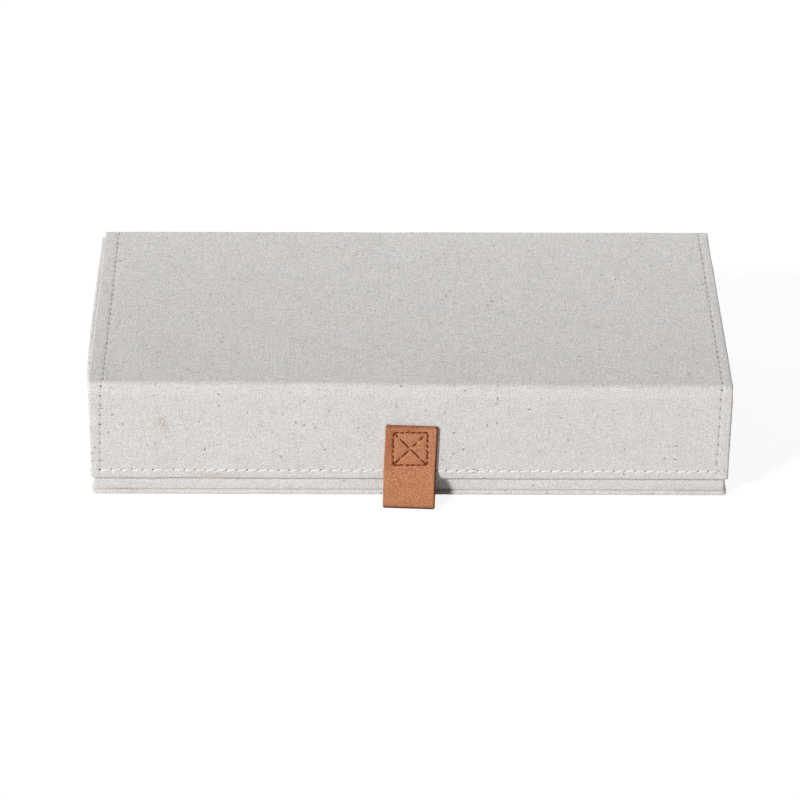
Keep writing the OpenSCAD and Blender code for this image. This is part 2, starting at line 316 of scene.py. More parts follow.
def warp(u, v):
    """Rise of the lid where its panel is a little twisted, fading down the flap and the spine."""
    front_left, front_right, back_left, back_right = (h * MM for h in (0.85, -0.25, -0.3, 0.45))
    fade, turn_from, turn_to = 25 * MM, 0.2, 0.8
    right = np.clip(0.5 + u / (2 * flat_half), 0, 1)
    front = np.clip(0.5 + v / (2 * lid_end), 0, 1)
    near = front_left + (front_right - front_left) * smooth(turn_from, turn_to, right)
    far = back_left + (back_right - back_left) * right
    return (far + (near - far) * front) * (1 - smooth(fold_end, fold_end + fade, np.abs(v)))


def cloth_point(u, v, lift=0.0):
    """Points and normals of the linen's outer face at cloth coordinates."""
    y, z, ny, nz = cloth_run(v)
    x, depth, nx, nd = cloth_across(u)
    rise = warp(u, v) * held(depth)
    normal = np.stack(np.broadcast_arrays(nx, ny * nd, nz * nd), -1)
    place = np.stack(np.broadcast_arrays(x, y - ny * depth, z - nz * depth + rise), -1)
    return place + normal * (relief(u, v) + lift)[..., None], normal


def held(depth):
    """Share of a panel's twist that its wrapped side keeps: none at its inner edge."""
    return 1 - np.clip((depth - edge_r) / (panel_t - edge_r), 0, 1)


def cloth_seams(u, v):
    """Distances from the side seam and from the low seam, as a paint for the material."""
    far = 50 * MM
    out = beside_seam(u, v)
    side = np.where(v > low_seam + pitch / 2, far, out)
    low = np.where(out > pitch / 2, far, v - low_seam)
    return flat(side, low)


def cloth_piece(name, us, vs, keep=None, brown_marks=None):
    """Piece of linen over a stretch of the case, as thick as the cloth."""
    v, u = np.meshgrid(vs, us, indexing="ij")
    outer, _ = cloth_point(u, v)
    y, z, ny, nz = cloth_run(v)
    x, depth, _, _ = cloth_across(u, cloth_t)
    inner = np.stack([x, y - ny * depth, z - nz * depth + warp(u, v) * held(depth)], -1)
    points, faces, place = skin(outer, inner, keep)
    u, v = u.ravel()[place], v.ravel()[place]
    paints = {"seam": cloth_seams(u, v), "brown_marks": np.zeros_like(u) if brown_marks is None else brown_marks(u, v)}
    return mesh_object(name, points, faces, flat(u, v), paints)


fine = 0.5 * MM
medium = pitch / 6
coarse = pitch
seam_zone = 152 * MM
arc_step = edge_r * math.pi / 12
leg_step = (panel_t - edge_r) / 2


def mirrored(half):
    """Positions on both sides of the middle from those on one side, which start at 0."""
    return np.concatenate([-half[:0:-1], half])


edge_runs = [(flat_half, fine), (round_half, arc_step)]
panel_cols = mirrored(ladder(0, (seam_zone, coarse), *edge_runs, (leg_half, leg_step)))
strip_cols = mirrored(ladder(0, (seam_zone, coarse), *edge_runs))
flap_cols = mirrored(ladder(0, (seam_zone, medium), *edge_runs, (leg_half, leg_step)))


def legs_only(us, vs, hinge_stops):
    """Cells to keep: all but those that a hinge strip or the wrapped lower edge takes over."""
    u = (us[1:] + us[:-1]) / 2
    v = (vs[1:] + vs[:-1]) / 2
    leg = np.abs(u) > round_half
    keep = np.ones((len(v), len(u)), bool)
    for low, high in hinge_stops:
        keep[(v > low) & (v < high)] = leg
    keep[np.ix_(v > flap_end, leg)] = False
    return keep


def lid_linen():
    rows = ladder(-lid_end, (hem - lid_end, hem), (lid_end - hem, medium), (lid_end, hem))
    keep = legs_only(panel_cols, rows, [(-lid_end, hem - lid_end), (lid_end - hem, lid_end)])
    return cloth_piece("lid_linen", panel_cols, rows, keep)


def flap_linen():
    near = 3 * MM
    rows = ladder(fold_end, (fold_end + hem, hem), (low_seam - near, medium), (low_seam + near, fine),
                  (flap_end, medium), (lip_end, arc_step), (under_end, leg_step))
    keep = legs_only(flap_cols, rows, [(fold_end, fold_end + hem)])
    return cloth_piece("flap_linen", flap_cols, rows, keep, flap_grime)


def spine_linen():
    rows = ladder(-spine_end, (-fold_end - hem, medium), (-fold_end, hem))
    keep = legs_only(panel_cols, rows, [(-fold_end - hem, -fold_end)])
    return cloth_piece("spine_linen", panel_cols, rows, keep)


def hinge_linen(name, way):
    half_hem, steps = hem / 2, 16
    fold_step = fold_r * math.pi / 2 / steps
    rows = ladder(lid_end - hem, (lid_end, half_hem), (fold_end, fold_step), (fold_end + hem, half_hem))
    return cloth_piece(name, strip_cols, way * rows)


def flap_grime(u, v):
    """A faint brown spot on the flap, left of the middle, and a trace of glue along its low edge."""
    spot_u, spot_v, spot_r = -129.0 * MM, fold_end + fold_z - 45.2 * MM, 2.6 * MM
    slope, stretch, spot_depth, edge_depth = math.radians(56), 2, 0.95, 0.9
    edge_u, edge_reach, edge_v, edge_band = -104 * MM, 11 * MM, flap_end - 1.4 * MM, 1.5 * MM
    du, dv = u - spot_u, v - spot_v
    along = du * math.cos(slope) + dv * math.sin(slope)
    across = dv * math.cos(slope) - du * math.sin(slope)
    spot = bell(np.hypot(along / stretch, across), spot_r)
    edge = bell(u - edge_u, edge_reach) * bell(v - edge_v, edge_band)
    return spot_depth * spot + edge_depth * edge


# Thread

def tube(line, normal, radius, twist=1.1 * MM, ply=0.12, sides=10):
    """Points, faces and coordinates of a two-ply thread along a line, with closed ends."""
    ahead = np.gradient(line, axis=0)
    ahead /= np.linalg.norm(ahead, axis=1, keepdims=True)
    across = np.cross(ahead, normal)
    across /= np.linalg.norm(across, axis=1, keepdims=True)
    up = np.cross(across, ahead)
    run = run_length(line)
    angle = np.linspace(0, 2 * math.pi, sides, endpoint=False)
    r = radius * (1 + ply * np.cos(2 * angle[None] - 2 * math.pi * run[:, None] / twist))
    ring = np.cos(angle)[None, :, None] * across[:, None] + np.sin(angle)[None, :, None] * up[:, None]
    points = (line[:, None] + r[..., None] * ring).reshape(-1, 3)
    faces = []
    for i in range(len(line) - 1):
        for j in range(sides):
            k = (j + 1) % sides
            faces.append((i * sides + j, i * sides + k, (i + 1) * sides + k, (i + 1) * sides + j))
    faces.append(tuple(range(sides)))
    faces.append(tuple(range(len(points) - sides, len(points))))
    along, around = np.meshgrid(run, angle * radius, indexing="ij")
    return points, faces, flat(around, along)


def thread_object(name, stitches):
    """One object from many stitches, each a line with its normals and a radius."""
    points, faces, coords = [], [], []
    start = 0
    for line, normal, radius in stitches:
        p, f, c = tube(line, normal, radius)
        points.append(p)
        coords.append(c + np.array([0, 0, start]))
        faces += [tuple(k + start for k in ring) for ring in f]
        start += len(p)
    return mesh_object(name, np.concatenate(points), faces, np.concatenate(coords), sharp=60)


stitch_t = np.linspace(0, 1, 19)
stitch_dip = 0.55 * MM
stitch_round = 0.45
side_rise = -0.185 * MM
low_rise = 0.14 * MM
tab_rise = 0.08 * MM
side_slant = 0.16 * MM
low_slant = 0.42 * MM


def stitch_height(t, rise):
    """Height of a stitch over the cloth: out of one hole and into the next."""
    return -stitch_dip + (stitch_dip + rise) * np.clip(np.sin(math.pi * t), 0, 1) ** stitch_round


def side_stitch(k, side):
    """Stitch from one hole of a side seam to the next towards the front."""
    v = (k + stitch_t) * pitch
    u = side * (seam_place(v, side) + side_slant * (1 - 2 * stitch_t))
    return *cloth_point(u, v, stitch_height(stitch_t, side_rise)), thread_r


def low_stitch(k):
    """Stitch from one hole of the flap's low seam to the next towards the right."""
    u = (k - 0.5 + stitch_t) * pitch
    v = low_seam - low_slant * (2 * stitch_t - 1)
    return *cloth_point(u, v, stitch_height(stitch_t, low_rise)), low_thread_r


def side_stitches(first, last):
    return [side_stitch(k, side) for side in (-1, 1) for k in range(first, last)]


def seam_threads():
    """The sewn threads of lid, flap, spine and the two folds."""
    fold_first = math.floor(lid_end / pitch)
    fold_last = math.ceil(fold_end / pitch)
    low = round(low_seam / pitch)
    spine_last = math.floor((spine_end - pitch / 2) / pitch)
    low_count = round((half_w - seam_inset) / pitch - 0.5)
    behind_tab = tab_half + pitch / 2
    low_row = [low_stitch(k) for k in range(-low_count, low_count + 1) if abs(k) * pitch > behind_tab]
    lid = thread_object("lid_thread", side_stitches(-fold_first, fold_first))
    flap = thread_object("flap_thread", side_stitches(fold_last, low) + low_row)
    spine = thread_object("spine_thread", side_stitches(-spine_last, -fold_last))
    front = thread_object("front_fold_thread", side_stitches(fold_first, fold_last))
    rear = thread_object("rear_fold_thread", side_stitches(-fold_last, -fold_first))
    return lid, flap, spine, front, rear


# The tray and the base panel

def round_plan(lo, hi, inset, corner, spacing=4 * MM, arc=8):
    """Closed outline of a rounded rectangle, anticlockwise from above, with its outward normals."""
    least = 0.5 * MM
    r = max(corner - inset, least)
    x0, y0 = lo[0] + inset + r, lo[1] + inset + r
    x1, y1 = hi[0] - inset - r, hi[1] - inset - r
    nx = max(1, round((hi[0] - lo[0]) / spacing))
    ny = max(1, round((hi[1] - lo[1]) / spacing))
    spots, normals = [], []
    legs = [((x1, y0), (x1, y1), ny, 0), ((x1, y1), (x0, y1), nx, 90),
            ((x0, y1), (x0, y0), ny, 180), ((x0, y0), (x1, y0), nx, 270)]
    for (ax, ay), (bx, by), count, deg in legs:
        out = np.array([math.cos(math.radians(deg)), math.sin(math.radians(deg))])
        t = np.linspace(0, 1, count, endpoint=False)[:, None]
        spots.append(np.array([ax, ay]) + t * np.array([bx - ax, by - ay]) + r * out)
        normals.append(np.broadcast_to(out, (count, 2)))
        bend = np.radians(deg + np.linspace(0, 90, arc, endpoint=False))
        turn = np.stack([np.cos(bend), np.sin(bend)], -1)
        spots.append(np.array([bx, by]) + r * turn)
        normals.append(turn)
    return np.concatenate(spots), np.concatenate(normals)


tray_corner = 1.2 * MM
base_corner = 2.5 * MM
wall_t = 2.8 * MM
rim_r = 1.3 * MM
tray_foot_r = 0.7 * MM
turn_in = 14 * MM


def arc_stops(cx, cz, r, start, end, count=7):
    """Stops (inset, height) on an arc about a centre, by angle in degrees from outwards to upwards."""
    a = np.radians(np.linspace(start, end, count))
    return [(cx - r * math.cos(t), cz + r * math.sin(t)) for t in a]


def wall_rows(z0, z1, spacing=5 * MM):
    return list(np.linspace(z0, z1, max(2, round(abs(z1 - z0) / spacing) + 1)))


def rounded_ring(lo, hi, stops, corner):
    """Grid of points: an outline in plan carried through stops (inset, height)."""
    layers = []
    for inset, z in stops:
        spots, _ = round_plan(lo, hi, inset, corner)
        layers.append(np.concatenate([spots, np.full((len(spots), 1), z)], 1))
    return np.stack(layers, 1)


def ring_cloth(lo, hi, stops, corner):
    """Cloth coordinates for such a grid: along the outline, and along the profile."""
    spots, _ = round_plan(lo, hi, 0, corner)
    a, d = np.meshgrid(run_length(spots), run_length(stops), indexing="ij")
    return flat(a, d)


def bow(points):
    """The tray's left wall stands out at its rim, less at the front corner and a little less behind."""
    height, reach, fade, corner = 3.75 * MM, 14 * MM, 0.2, 0.35
    lean, round_front, round_back = 3, 8, 4
    t = np.clip((points[..., 1] - tray_lo.y) / (tray_hi.y - tray_lo.y), 0, 1)
    rise = 1 - np.clip((tray_hi.z - points[..., 2]) / (tray_hi.z - tray_lo.z), 0, 1) ** lean
    near = 1 - smooth(tray_lo.x, tray_lo.x + reach, points[..., 0])
    moved = points.copy()
    front = corner + (1 - corner) * (1 - (1 - t) ** round_front)
    moved[..., 0] -= height * front * (1 - fade * t ** round_back) * rise * near
    return moved


def tray_skin(name, stops, inner_stops, marked=False):
    """Cloth round the tray between two profiles, bowed with its left wall."""
    outer = bow(rounded_ring(tray_lo, tray_hi, stops, tray_corner))
    inner = bow(rounded_ring(tray_lo, tray_hi, inner_stops, tray_corner))
    points, faces, place = skin(outer, inner, wrap=True)
    cloth = ring_cloth(tray_lo, tray_hi, stops, tray_corner)[place]
    return mesh_object(name, points, faces, cloth, {"brown_marks": crease_marks(points)} if marked else None)


def tray_linen():
    """Linen round the tray, over its rounded rim and turned in."""
    z0, z1 = tray_lo.z, tray_hi.z
    rim_z = z1 - rim_r
    rim = arc_stops(rim_r, rim_z, rim_r, 0, 90) + arc_stops(wall_t - rim_r, rim_z, rim_r, 90, 180)
    foot = arc_stops(tray_foot_r, z0 + tray_foot_r, tray_foot_r, -75, 0, 5)
    outside = foot + [(0, z) for z in wall_rows(z0, rim_z)[1:-1]]
    inside = [(wall_t, z) for z in wall_rows(rim_z, z1 - turn_in)[1:]]
    stops = np.array([*outside, *rim, *inside])
    r = rim_r - cloth_t
    rim_in = arc_stops(rim_r, rim_z, r, 0, 90) + arc_stops(wall_t - rim_r, rim_z, r, 90, 180)
    inner_stops = np.array([*[(inset + cloth_t, z) for inset, z in outside], *rim_in,
                            *[(wall_t - cloth_t, z) for _, z in inside]])
    return tray_skin("tray_linen", stops, inner_stops, marked=True)


def crease_marks(points):
    """Brown marks in the crease between tray and base panel along the front, stronger in a few stretches.
    """
    band, strength, least = 0.7 * MM, 0.75, 0.12
    stretches = ((-150 * MM, 9 * MM), (20 * MM, 6 * MM), (152 * MM, 8 * MM))
    along = sum(bell(points[:, 0] - x, reach) for x, reach in stretches)
    front = points[:, 1] < 0
    return front * bell(points[:, 2] - base_hi.z, band) * np.clip(least + along, 0, 1) * strength


def wall_lining_cloth():
    """Lining round the inside of the tray's walls."""
    inset = lining_lo.x - tray_lo.x
    heights = wall_rows(lining_lo.z, lining_hi.z)
    face = np.array([(inset + lining_t, z) for z in heights])
    back = np.array([(inset, z) for z in heights])
    return tray_skin("wall_lining_cloth", face, back)


def left_wall_board():
    """Greyboard of the tray's left wall, bowed with its cloth."""
    cols, rows = 40, 14
    ys = np.linspace(board_lo.y, board_hi.y, cols)
    zs = np.linspace(board_lo.z, board_hi.z, rows)
    y, z = np.meshgrid(ys, zs, indexing="ij")
    outer = bow(np.stack([np.full_like(y, board_lo.x), y, z], -1))
    inner = bow(np.stack([np.full_like(y, board_hi.x), y, z], -1))
    points, faces, place = skin(outer, inner)
    return mesh_object("left_wall_board", points, faces, flat(y, z)[place])


def base_linen():
    """Base panel wrapped in linen, with soft edges and corners."""
    z0, z1 = base_lo.z, base_hi.z
    soft, top_w, rings = 0.46, 10 * MM, 5
    r = (z1 - z0) * soft
    top = [(inset, z1) for inset in np.linspace(top_w, r, rings)[:-1]]
    rim = arc_stops(r, z1 - r, r, 90, 0) + arc_stops(r, z0 + r, r, 0, -90)
    low = [(inset, z0) for inset in np.linspace(r, top_w, rings)[1:]]
    stops = np.array([*top, *rim, *low])
    grid = rounded_ring(base_lo, base_hi, stops, base_corner)
    rows, cols = grid.shape[:2]
    faces = grid_faces(rows, cols, wrap=True)
    faces.append(tuple(i * cols for i in range(rows)))
    faces.append(tuple(i * cols + cols - 1 for i in range(rows)))
    _, out = round_plan(base_lo, base_hi, 0, base_corner)
    points = grid.reshape(-1, 3)
    past = np.maximum(run_length(stops) - (top_w - r), 0)
    outward = (past + stops[:, 0] - r) * (stops[:, 1] < z1)
    spread = grid[..., :2] + out[:, None] * outward[None, :, None]
    cloth = flat(spread[..., 0], spread[..., 1])
    return mesh_object("base_linen", points, faces, cloth, {"brown_marks": crease_marks(points)})


# Lining, dividers and other slabs

def slab(name, lo, hi, radius, segments=3):
    """Rectangular slab of cloth or board with softened edges; its faces carry flat coordinates."""
    bm = bmesh.new()
    bmesh.ops.create_cube(bm, size=1)
    size = [h - l for l, h in zip(lo, hi)]
    centre = [(h + l) / 2 for l, h in zip(lo, hi)]
    for vert in bm.verts:
        vert.co = [c + s * p for c, s, p in zip(centre, size, vert.co)]
    bmesh.ops.bevel(bm, geom=bm.edges[:], offset=radius, segments=segments, profile=0.5, affect="EDGES")
    mesh = bpy.data.meshes.new(name)
    bm.to_mesh(mesh)
    bm.free()
    box_coordinates(mesh)
    return finished(name, mesh, sharp=50)


def box_coordinates(mesh):
    """Flat coordinates on each face, from the two axes that it faces least."""
    attribute = mesh.attributes.new("cloth", "FLOAT_VECTOR", "CORNER")
    for face in mesh.polygons:
        drop = max(range(3), key=lambda k: abs(face.normal[k]))
        axes = [k for k in range(3) if k != drop]
        for loop in face.loop_indices:
            co = mesh.vertices[mesh.loops[loop].vertex_index].co
            attribute.data[loop].vector = (co[axes[0]], co[axes[1]], 0)


# The leather tab

def sewn(x, s):
    """Place on the tab of a point of its sewing, given from the middle of the sewn box."""
    c, t = math.cos(box_turn), math.sin(box_turn)
    return box_shift + c * x + t * s, box_top + box_tall / 2 - t * x + c * s


def unsewn(x, s):
    """Point of the sewing, from the middle of the sewn box, at a place on the tab."""
    c, t = math.cos(box_turn), math.sin(box_turn)
    x, s = x - box_shift, s - box_top - box_tall / 2
    return c * x - t * s, t * x + c * s


def leaning(points):
    """Turns points of the tab to the side about the middle of its bend."""
    c, s = math.cos(tab_lean), math.sin(tab_lean)
    x, z = points[..., 0], points[..., 2] - tab_bend
    return np.stack([c * x + s * z, points[..., 1], tab_bend - s * x + c * z], -1)


def tab_relief(x, s):
    """Leather drawn in along the sewn box and cross, and swelling between."""
    groove, width, swell, swell_w = 0.3 * MM, 0.75 * MM, 0.16 * MM, 2.25 * MM
    x, s = unsewn(x, s)
    dx, ds = np.abs(x) - box_half, np.abs(s) - box_tall / 2
    outside = np.hypot(np.maximum(dx, 0), np.maximum(ds, 0))
    frame_gap = np.where((dx > 0) | (ds > 0), outside, np.minimum(-dx, -ds))
    tall, wide = box_tall / 2, box_half
    reach = math.hypot(tall, wide)
    cross = np.minimum(np.abs(x * tall - s * wide), np.abs(x * tall + s * wide)) / reach
    inside = (dx < 0) & (ds < 0)
    gap = np.where(inside, np.minimum(frame_gap, cross), frame_gap)
    return -groove * bell(gap, width) + swell * inside * (1 - bell(gap, swell_w))


def tab_surface(x, s, depth):
    """Points and normals of the tab at a distance s from its top and a depth below its face."""
    turn = np.clip((s - tab_flat) / tab_bend_r, 0, tab_sweep)
    r = tab_bend_r + depth
    above = np.minimum(s, tab_flat)
    below = np.maximum(s - tab_flat - tab_turn, 0)
    y = front_y - tab_reach + r * np.cos(turn) - below * np.sin(turn)
    z = tab_top - above - r * np.sin(turn) - below * np.cos(turn)
    normal = np.stack([np.zeros_like(turn), -np.cos(turn), np.sin(turn)], -1)
    return np.stack([x, y, z], -1), normal


def tab_leather():
    """Leather tab, flat on the flap above and bent outwards below, with softened cut edges."""
    step = 0.36 * MM
    flat_x = tab_half - tab_edge
    bevel = tab_edge / 3
    across = mirrored(ladder(0, (flat_x, step), (tab_half, bevel)))
    along = ladder(0, (tab_edge, bevel), (tab_len - tab_edge, step), (tab_len, bevel))
    s, x = np.meshgrid(along, across, indexing="ij")
    from_end = np.minimum(s, tab_len - s)
    corner = np.clip(tab_round - from_end, 0, tab_round)
    narrow = tab_round - np.sqrt(tab_round ** 2 - corner ** 2)
    from_side = tab_half - np.abs(x)
    x_in = x * (tab_half - narrow) / tab_half
    near = np.minimum(from_side, from_end)
    soft = tab_edge - np.sqrt(tab_edge ** 2 - np.clip(tab_edge - near, 0, tab_edge) ** 2)
    face, normal = tab_surface(x_in, s, soft)
    face = face + normal * tab_relief(x, s)[..., None]
    back, _ = tab_surface(x_in, s, tab_t - soft)
    points, faces, place = skin(leaning(face), leaning(back))
    # Cut edges darkened: partly edge dye, partly painted shade, full on the right edge away from the key
    # lamp, less at the foot and top, none on the lit left edge.
    rim, full = 0.95 * MM, 0.6
    top_dye_and_shade, low_dye_and_shade = 0.4, 0.85
    edge_dye_and_shade_bands = ((tab_half - x, 1.0), (s, top_dye_and_shade), (tab_len - s, low_dye_and_shade))
    edge_dye_and_shade = np.max([dye * (1 - smooth(full * rim, rim, gap)) for gap, dye in edge_dye_and_shade_bands], 0).ravel()[place]
    return mesh_object("tab_leather", points, faces, flat(x, s)[place], {"edge_dye_and_shade": edge_dye_and_shade}, sharp=55)


def tab_stitch(x0, s0, x1, s1):
    """Stitch on the tab's face between two holes."""
    t = stitch_t
    x, s = x0 + (x1 - x0) * t, s0 + (s1 - s0) * t
    face, normal = tab_surface(x, s, np.zeros_like(x))
    lift = tab_relief(x, s) + stitch_height(t, tab_rise)
    return leaning(face + normal * lift[:, None]), normal, tab_thread_r


sewing_rng = np.random.default_rng(rng_seed)


def even_spans(count, gap=0.13):
    """Spans of the stitches in an even row, as fractions of it, with gaps that vary."""
    least, most = 0.3, 1.7
    stops = np.linspace(0, 1, count + 1)
    first, last = gap / count * sewing_rng.uniform(least, most, (2, count))
    return list(zip(stops[:-1] + first, stops[1:] - last))


def tab_row(start, end, spans, stray, slant=0.0):
    """Row of stitches between two points of the sewing; each lies aslant and strays a little."""
    start, end = np.array(start), np.array(end)
    along = end - start
    across = np.array([-along[1], along[0]]) / np.hypot(*along)
    row = []
    for a, b in spans:
        first, last = sewing_rng.uniform(-stray, stray, (2, 2))
        first = start + along * a + across * slant + first
        last = start + along * b - across * slant + last
        row.append(tab_stitch(*sewn(*first), *sewn(*last)))
    return row


def tab_sewing():
    """Box and cross sewn through the tab; one arm of the cross has worn gaps."""
    x, s = box_half, box_tall / 2
    loose, slant, tight = 0.2 * MM, 0.2 * MM, 0.08 * MM
    falling = ((0.0, 0.14), (0.18, 0.48), (0.5, 0.8), (0.82, 1.0))
    rising = ((0.03, 0.21), (0.23, 0.46), (0.57, 0.68), (0.76, 0.87))
    side_count = 6
    sides = (((-x, -s), (x, -s)), ((-x, s), (x, s)), ((-x, -s), (-x, s)), ((x, -s), (x, s)))
    rows = []
    for start, end in sides:
        rows += tab_row(start, end, even_spans(side_count), loose, slant)
    rows += tab_row((-x, -s), (x, s), falling, tight) + tab_row((-x, s), (x, -s), rising, tight)
    return thread_object("tab_sewing", rows)


# Materials

class Graph:
    """Node graph of a material or world, built from sockets and plain numbers."""

    def __init__(self, owner):
        owner.use_nodes = True
        self.owner = owner
        self.links = owner.node_tree.links
        self.nodes = owner.node_tree.nodes

    def node(self, kind, inputs=None, **settings):
        made = self.nodes.new("ShaderNode" + kind)
        for key, value in settings.items():
            setattr(made, key, value)
        for key, value in (inputs or {}).items():
            self.put(made.inputs[key], value)
        return made

    def put(self, socket, value):
        if isinstance(value, bpy.types.NodeSocket):
            self.links.new(value, socket)
        else:
            socket.default_value = value

    def math(self, operation, *values):
        return self.node("Math", dict(enumerate(values)), operation=operation).outputs[0]

    def times(self, a, b):
        return self.math("MULTIPLY", a, b)

    def plus(self, a, b):
        return self.math("ADD", a, b)

    def times_plus(self, a, b, c):
        return self.math("MULTIPLY_ADD", a, b, c)

    def vary(self, total, layer, amount, middle=0.5):
        """A total changed by an amount of a layer, which counts from its middle value."""
        return self.times_plus(self.math("SUBTRACT", layer, middle), amount, total)

    def split(self, vector):
        return self.node("SeparateXYZ", {0: vector}).outputs

    def attribute(self, name, output="Vector"):
        return self.node("Attribute", attribute_name=name).outputs[output]

    def scaled(self, vector, x, y, z=1.0):
        return self.node("VectorMath", {0: vector, 1: (x, y, z)}, operation="MULTIPLY").outputs[0]

    def noise(self, vector, scale=1.0, detail=2.0, roughness=0.5):
        settings = {"Vector": vector, "Scale": scale, "Detail": detail, "Roughness": roughness}
        return self.node("TexNoise", settings).outputs["Fac"]

    def cells(self, vector, scale):
        return self.node("TexVoronoi", {"Vector": vector, "Scale": scale, "Randomness": 1.0}).outputs

    def step(self, low, high, value):
        limits = {"Value": value, "From Min": low, "From Max": high}
        return self.node("MapRange", limits, interpolation_type="SMOOTHSTEP").outputs["Result"]

    def mix(self, factor, a, b, blend="MIX"):
        return self.node("Mix", {0: factor, 6: a, 7: b}, data_type="RGBA", blend_type=blend).outputs[2]

    def tinted(self, tone, *shades):
        """A tone times one shade, or times three: of red, green and blue."""
        parts = shades * 3 if len(shades) == 1 else shades
        return self.mix(1.0, tone, self.node("CombineColor", dict(enumerate(parts))).outputs[0], "MULTIPLY")

    def bump(self, height, distance):
        settings = {"Height": height, "Distance": distance, "Strength": 1.0}
        return self.node("Bump", settings).outputs["Normal"]

    def surface(self, **values):
        for key, value in values.items():
            self.put(self.nodes["Principled BSDF"].inputs[key.replace("_", " ")], value)
        return self.owner


def material_graph(name):
    return Graph(bpy.data.materials.new(name))


def rgb(r, g, b):
    return (r, g, b, 1.0)


def dimmed(tone, *shares):
    """Colour with each of its parts brought down to a share."""
    return rgb(*(part * share for part, share in zip(tone, shares)))


def in_mm(g):
    """Surface coordinates in millimetres."""
    return g.scaled(g.attribute("cloth"), 1 / MM, 1 / MM)


def wobble(g, spot):
    """Coordinates shifted a little by noise, so that threads run unevenly."""
    scale, amount, half = 0.2, 0.8, (0.5, 0.5, 0.5)
    cloud = g.node("TexNoise", {"Vector": spot, "Scale": scale, "Detail": 2.0}).outputs["Color"]
    shift = g.node("VectorMath", {0: cloud, 1: half}, operation="SUBTRACT").outputs[0]
    moved = g.node("VectorMath", {0: shift, 1: (amount, amount, 0), 2: spot}, operation="MULTIPLY_ADD")
    return moved.outputs[0]


def weave(g, spot, count):
    """Height of a plain weave with a number of threads to the millimetre."""
    fullness = 0.6
    u, v, _ = g.split(spot)
    over = [g.math("ABSOLUTE", g.math("SINE", g.times(k, math.pi * count))) for k in (u, v)]
    return g.math("POWER", g.times(*over), fullness)


def white_noise(g, x, y):
    """Random value for each pair of numbers."""
    cell = g.node("CombineXYZ", {0: x, 1: y})
    return g.node("TexWhiteNoise", {"Vector": cell.outputs[0]}, noise_dimensions="2D").outputs["Value"]


def drawn_out(g, spot):
    """Cloth coordinates in which the lid's threads are longer along its depth."""
    drawn = 0.48
    u, v, _ = g.split(spot)
    inside = g.math("MAXIMUM", g.math("MINIMUM", v, lid_end / MM), -lid_end / MM)
    return g.node("CombineXYZ", {0: u, 1: g.times_plus(inside, -drawn, v)}).outputs[0]


def fibres(g, spot):
    """Random tone of each short fibre; its neighbours lean a little the other way."""
    across, along, contrast = 1.85, 1.6, 0.3
    u, v, _ = g.split(spot)
    i = g.math("FLOOR", g.times(u, across))
    j = g.math("FLOOR", g.times(v, along))
    tone = white_noise(g, i, j)
    for beside in (white_noise(g, g.plus(i, 1.0), j), white_noise(g, i, g.plus(j, 1.0))):
        tone = g.vary(tone, beside, -contrast)
    return tone


def yarns(g, spot, count):
    """Random tones of a plain weave: of the thread on top at each crossing, and of the crossing."""
    run = 4.0
    u, v, _ = g.split(spot)
    i, j = [g.math("FLOOR", g.times(k, count)) for k in (u, v)]
    upright = white_noise(g, i, g.math("FLOOR", g.math("DIVIDE", j, run)))
    level = white_noise(g, g.math("FLOOR", g.math("DIVIDE", i, run)), g.plus(j, 0.5))
    over = g.times(g.math("FRACT", g.times(g.plus(i, j), 0.5)), 2.0)
    return g.times_plus(over, g.math("SUBTRACT", upright, level), level), white_noise(g, i, j)


def flecked(g, spot, colour, share, dark):
    """Dark flecks along and across the threads, in a share of the cells of a random grid."""
    scale, edge, core, faint = 0.4, 0.22, 0.11, 0.5
    across, along = (1.0, 0.5), (0.45, 1.0)
    for shape in (across, along):
        cell = g.cells(g.scaled(spot, *shape), scale)
        chance, strength, _ = g.node("SeparateColor", {0: cell["Color"]}).outputs
        depth = g.times_plus(g.times(strength, strength), 1 - faint, faint)
        seen = g.times(g.step(edge, core, cell["Distance"]), g.math("LESS_THAN", chance, share))
        colour = g.mix(g.times(seen, depth), colour, dark)
    return colour


